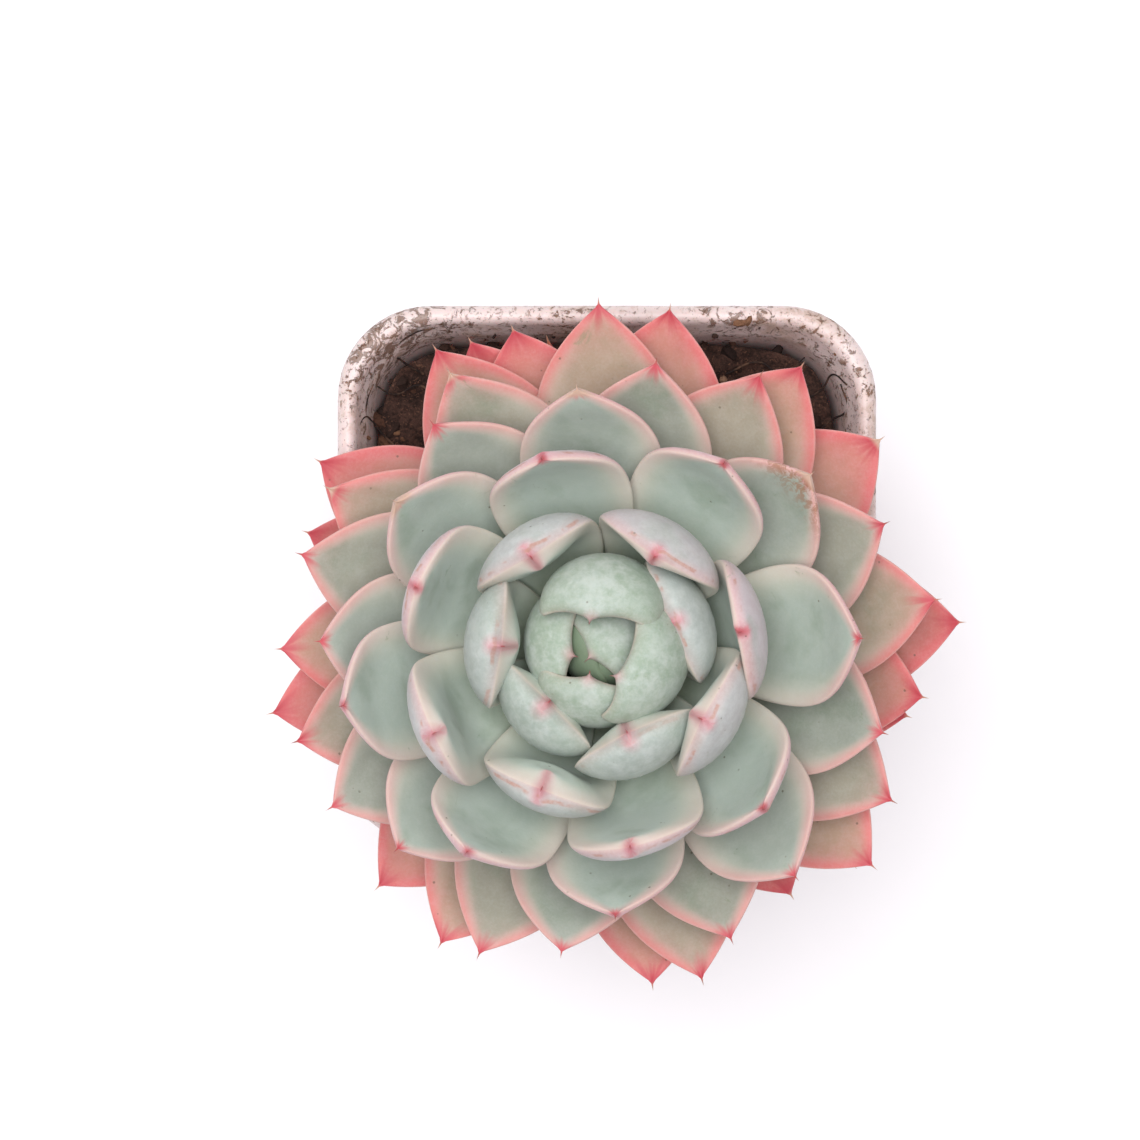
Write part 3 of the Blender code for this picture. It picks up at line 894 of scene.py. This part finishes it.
base = skin.blend(base, paint(120, 140, 116), (cloudy.rise(0.50, 0.72)) * 0.35)

# %% Leaf skin: cream at the sides and pink at the edge
near_edge = to_margin.rise(2.4, 0.1)
side_edge = across.size().rise(0.42, 0.98)
cream_share = side_edge * along.rise(0.25, 0.55) * (1.0 - is_back)
base = skin.blend(base, paint(200, 198, 180), cream_share * age.rise(0.03, 0.22) * 0.66)
pink_start = skin.curve(age, [(0.0, 1.0), (0.12, 1.0), (0.30, 0.93), (0.50, 0.88), (0.66, 0.80), (0.80, 0.74),
                              (1.0, 0.64)])
pink_place = along + across.size() ** 3.0 * 0.30 + (mottled - 0.5) * 0.12 + (cloudy - 0.5) * 0.18 - pink_start
pinkness = pink_place.rise(0.0, 0.36)
pink = skin.ramp(age, [
    (0.0, paint(190, 146, 138)), (0.30, paint(206, 156, 158)), (0.50, paint(208, 134, 132)),
    (0.75, paint(210, 114, 112)), (1.0, paint(206, 102, 104))])
pink_depth = skin.curve(age, [(0.0, 0.2), (0.25, 0.40), (0.5, 0.65), (0.8, 0.85)])
base = skin.blend(base, pink, pinkness * pink_depth)
rim_depth = skin.curve(age, [(0.05, 0.10), (0.25, 0.50), (0.45, 0.75), (1.0, 0.95)])
rim_pink = near_edge * along.rise(0.45, 0.90) * rim_depth
base = skin.blend(base, pink, rim_pink * 0.85)
edge_line = to_margin.rise(0.42, 0.08) * face.size().rise(0.5, 0.1)
base = skin.blend(base, paint(222, 198, 184), edge_line * 0.25)
halo = to_margin.rise(2.6, 0.3) * (1.0 - is_back) * along.rise(0.30, 0.60) * age.rise(0.90, 0.45)
base = skin.blend(base, paint(208, 204, 192), halo * (1.0 - rim_pink) * age.rise(0.03, 0.22) * 0.55)
patchy = (cloudy * 0.5 + mottled * 0.5).rise(0.35, 0.6)
waxy = across.size().rise(0.95, 0.15) * is_back * age.rise(0.35, 0.10) * patchy
base = skin.blend(base, paint(208, 214, 211), waxy * 0.38)

# %% Leaf skin: crimson round the tip
spine_reach = age.rise(0.10, 0.35) * 0.52 + 0.48
spoke_angle = skin.node("ShaderNodeMath", {"operation": "ARCTAN2"}, {0: mm_across, 1: to_tip - 0.8})
spoke_spot = skin.node("ShaderNodeCombineXYZ", {}, {0: spoke_angle * 2.4, 1: seed * 40.0, 2: is_back * 3.0})
spokes = skin.node("ShaderNodeTexNoise", {}, {"Vector": spoke_spot, "Scale": 1.0, "Detail": 2.0})
from_tip = (mm_across ** 2.0 + (to_tip - spine_reach * 0.9) ** 2.0) ** 0.5
star_reach = skin.curve(age, [(0.0, 0.26), (0.2, 0.26), (0.35, 0.30), (0.5, 0.55), (0.8, 1.0)]) * 5.0
star = (from_tip / (star_reach * (spokes * 1.6 - 0.15).at_least(0.15))).rise(1.05, 0.0)
crimson = skin.ramp(age, [(0.0, paint(190, 92, 96)), (0.4, paint(196, 74, 88)), (1.0, paint(184, 68, 80))])
base = skin.blend(base, crimson, star * age.rise(-0.2, 0.5))
spine = (to_tip / spine_reach).rise(1.25, 0.55) * mm_across.size().rise(0.75, 0.35)
blush = from_tip.rise(1.7, 0.2) * age.rise(0.40, 0.22) * (0.4 + mottled * 0.6)
base = skin.blend(base, paint(208, 128, 142), blush * 0.62)
spine_colour = skin.ramp(age, [
    (0.0, paint(170, 52, 60)), (0.35, paint(176, 66, 72)), (0.6, paint(168, 96, 84)),
    (0.9, paint(196, 160, 136))])
base = skin.blend(base, spine_colour, spine * 0.9)

# %% Leaf skin: scars, rubs and specks
scar_run = skin.noise(0.42, 2.0, 0.5)
scar = to_margin.rise(1.05, 0.75) * to_margin.rise(0.25, 0.5) * is_back * along.rise(0.70, 0.85)
scar = scar * scar_run.rise(0.50, 0.60) * age.rise(0.06, 0.12) * age.rise(0.75, 0.55)
base = skin.blend(base, paint(176, 128, 112), scar * 0.75)
rub_cells = skin.noise(0.30, 5.0, 0.65, 1.2)
rub = rub_cells.rise(0.66, 0.74)
base = skin.blend(base, paint(112, 134, 96), rub * 0.40)
speck_cells = skin.node("ShaderNodeTexVoronoi", {"feature": "F1"},
                        {"Vector": skin.place(), "Scale": 520.0, "Randomness": 1.0})
speck = speck_cells.rise(0.10, 0.05) * skin.noise(0.2, 1.0).rise(0.5, 0.6)
base = skin.blend(base, paint(92, 84, 62), speck * 0.65)
bloom = (powder * 0.5 + mottled * 0.5).rise(0.38, 0.66) * (0.35 + is_back * 0.35) * (1.0 - star)
base = skin.blend(base, paint(222, 224, 224), bloom * 0.26)
# The young core leaves in the gap are painted dark green: this is painted shade of the gap they stand in.
base = skin.blend(base, paint(104, 122, 96), core_shade * 0.9)
scab = skin.noise(0.9, 4.0, 0.7, 0.8).rise(0.40, 0.58) * to_tip.rise(6.5, 2.0) * scabbed
base = skin.blend(base, paint(150, 104, 74), scab * 0.8)
base = skin.blend(base, paint(196, 164, 146), to_tip.rise(2.0, 1.2) * dry)

# %% Leaf skin: gloss and grain
skin.bump(powder * 0.25 + mottled * 0.6 + cloudy * 0.5 - rub * 0.35 - speck * 0.5, 0.05)
leaf_skin = skin.finish(base, 0.46 + mottled * 0.14 + bloom * 0.10 - star * 0.08, Subsurface_Weight=0.10,
                        Subsurface_Scale=0.0012, Specular_IOR_Level=0.32, Sheen_Weight=0.08)
skin.shader.inputs["Subsurface Radius"].default_value = (1.0, 0.7, 0.45)
for leaf in leaves.values():
    leaf.data.materials.clear()
    leaf.data.materials.append(leaf_skin)
print("leaf skin:", len(skin.tree.nodes), "nodes")

# %% [markdown]
# ## Plastic that has been in use
# The pot is white moulded plastic, a little pink in this light. Use has left peat dust in the
# corners, tan tide marks inside the rim and tiny scuffs, so dirt gathers by height and noise.

# %% Pot plastic
plastic = Recipe("pot_plastic_worn")
spot = plastic.place()
high = plastic.node("ShaderNodeSeparateXYZ", {}, {0: spot}, out=2) * 1000.0
smear = plastic.noise(0.11, 4.0, 0.6, 0.6)
grime = plastic.noise(0.9, 5.0, 0.7, 0.5)
fine = plastic.noise(5.0, 2.0, 0.6)
colour = plastic.blend(paint(224, 207, 204), paint(215, 194, 190), smear.rise(0.35, 0.7))
tide = (smear * 0.6 + grime * 0.5).rise(0.52, 0.66) * high.rise(50.0, 56.0)
colour = plastic.blend(colour, paint(176, 148, 126), tide * 0.55)
crust = grime.rise(0.56, 0.62) * plastic.noise(0.10, 2.0).rise(0.46, 0.56) * high.rise(50.0, 54.0)
colour = plastic.blend(colour, paint(120, 84, 62), crust * 0.85)
dust = plastic.noise(1.7, 4.0, 0.75).rise(0.58, 0.64) * high.rise(50.5, 53.0)
colour = plastic.blend(colour, paint(96, 70, 58), dust * 0.6)
west = plastic.node("ShaderNodeSeparateXYZ", {}, {0: spot}, out=0) * 1000.0
north = plastic.node("ShaderNodeSeparateXYZ", {}, {0: spot}, out=1) * 1000.0
left_corner = ((west + 24.0) ** 2.0 + (north - 27.0) ** 2.0) ** 0.5
right_corner = ((west - 16.0) ** 2.0 + (north - 30.0) ** 2.0) ** 0.5
dirty_corner = left_corner.rise(11.0, 3.0) + right_corner.rise(6.0, 2.0) * 0.6
splash = plastic.noise(0.55, 5.0, 0.72, 1.4)
splash = (splash + dirty_corner * 0.10).rise(0.60, 0.64) * high.rise(50.5, 53.0)
colour = plastic.blend(colour, paint(110, 78, 56), splash * 0.8)
foot_dust = high.rise(9.0, 0.0) * grime.rise(0.42, 0.62)
colour = plastic.blend(colour, paint(186, 164, 146), foot_dust * 0.45)
plastic.bump(grime * 0.4 + fine * 0.2 + crust * 1.4 + splash, 0.06)
pot_plastic = plastic.finish(colour, 0.30 + smear * 0.16 + tide * 0.2 + crust * 0.3, Subsurface_Weight=0.08,
                             Subsurface_Scale=0.002, Specular_IOR_Level=0.5)
pot.data.materials.clear()
pot.data.materials.append(pot_plastic)
print("pot plastic:", len(plastic.tree.nodes), "nodes")

# %% Peat, crumbs and bark
peat = Recipe("peat")
coarse = peat.noise(0.5, 5.0, 0.65, 0.3)
grit = peat.noise(2.6, 4.0, 0.7)
colour = peat.blend(paint(44, 31, 27), paint(84, 60, 52), (coarse * 0.6 + grit * 0.5).rise(0.42, 0.68))
fibre = peat.noise(1.2, 2.0, 0.5, 2.5).rise(0.62, 0.68)
colour = peat.blend(colour, paint(128, 92, 74), fibre * 0.6)
peat.bump(coarse * 0.8 + grit * 0.7, 0.5)
peat_finish = peat.finish(colour, 0.86 + grit * 0.12, Specular_IOR_Level=0.2)
bed.data.materials.append(peat_finish)

chips = Recipe("crumbs_and_chips")
tint = chips.node("ShaderNodeAttribute", {"attribute_name": "crumb_tint"}, {}, out=2)
crumb_colour = chips.ramp(tint, [
    (0.0, paint(38, 27, 24)), (0.45, paint(62, 44, 38)), (0.75, paint(92, 62, 48)),
    (0.90, paint(134, 98, 74)), (0.97, paint(188, 170, 150))])
grain = chips.noise(2.2, 3.0, 0.65)
crumb_colour = chips.blend(crumb_colour, paint(40, 28, 24), grain.rise(0.45, 0.7) * 0.5)
chips.bump(grain, 0.2)
chip_finish = chips.finish(crumb_colour, 0.8 + grain * 0.15, Specular_IOR_Level=0.2)
crumbs.data.materials.append(chip_finish)
stuck_crumbs.data.materials.append(chip_finish)

bark = Recipe("stem_bark_dry")
ringed = bark.noise(0.7, 4.0, 0.6, 0.4)
colour = bark.blend(paint(96, 78, 54), paint(150, 132, 98), ringed.rise(0.35, 0.65))
colour = bark.blend(colour, paint(62, 48, 36), bark.noise(2.8, 3.0, 0.7).rise(0.56, 0.70) * 0.7)
bark.bump(ringed, 0.35)
bark_finish = bark.finish(colour, 0.78 + ringed * 0.15, Specular_IOR_Level=0.25)
stem.data.materials.clear()
stem.data.materials.append(bark_finish)

thread_paint = Recipe("dry_root")
patch = thread_paint.noise(0.6, 3.0, 0.6)
colour = thread_paint.blend(paint(40, 30, 28), paint(104, 78, 62), patch.rise(0.45, 0.7))
thread_paint.bump(patch, 0.05)
roots.data.materials.clear()
roots.data.materials.append(thread_paint.finish(colour, 0.7 + patch * 0.2, Specular_IOR_Level=0.25))
print("soil, bark and roots painted")

# %% [markdown]
# ## Floor, light and camera
# The plant stands on a plain pale floor. A broad soft lamp overhead lights the hollows between
# the leaves, a weak one at the upper left gives them a little shape, and an even sky does the
# rest. The camera looks straight down.

# %% Floor and light
start_piece()
bpy.ops.mesh.primitive_plane_add(size=6.0, location=(0.0, 0.0, -0.0004))
floor = new_piece("floor")
floor_paint = Recipe("floor_paint")
cloud = floor_paint.noise(0.004, 2.0)
tone = floor_paint.blend(paint(250, 249, 252), paint(252, 251, 254), cloud)
floor.data.materials.append(floor_paint.finish(tone, 0.9, Specular_IOR_Level=0.1))
sky = bpy.data.worlds.new("bright_room")
sky.use_nodes = True
sky.node_tree.nodes["Background"].inputs["Color"].default_value = (1.0, 0.985, 1.0, 1.0)
sky.node_tree.nodes["Background"].inputs["Strength"].default_value = 0.40
bpy.context.scene.world = sky


def soft_lamp(name, place, size, power, colour):
    lamp = bpy.data.lights.new(name, "AREA")
    lamp.shape = "DISK"
    lamp.size = size
    lamp.energy = power
    lamp.color = colour
    holder = bpy.data.objects.new(name, lamp)
    holder.location = place
    holder.rotation_euler = (Vector((0.0, 0.0, 0.06)) - Vector(place)).to_track_quat("-Z", "Y").to_euler()
    bpy.context.scene.collection.objects.link(holder)


soft_lamp("window", (-0.55, 0.60, 0.85), 0.55, 1.8, (1.0, 0.985, 0.97))
soft_lamp("ceiling", (-0.05, 0.07, 1.30), 1.10, 16.5, (1.0, 0.995, 1.0))
print("floor and light set")

# %% Camera
EYE_HEIGHT = 0.6
EYE_X = -0.00438
EYE_Y = 0.0006
HALF_VIEW = 0.075          # half of what the camera takes in at the floor, in metres
lens = bpy.data.cameras.new("camera")
lens.sensor_width = 36.0
lens.angle = 2.0 * math.atan(HALF_VIEW / EYE_HEIGHT)
lens.clip_start = 0.05
lens.clip_end = 20.0
camera = bpy.data.objects.new("camera", lens)
camera.location = (EYE_X, EYE_Y, EYE_HEIGHT)
bpy.context.scene.collection.objects.link(camera)
bpy.context.scene.camera = camera
bpy.context.scene.view_settings.view_transform = "Standard"
print("camera takes in", round(2.0 * HALF_VIEW / MM), "mm at the floor")

# %% Remove the blank and the last line
bpy.data.objects.remove(blank)
bpy.context.view_layer.update()
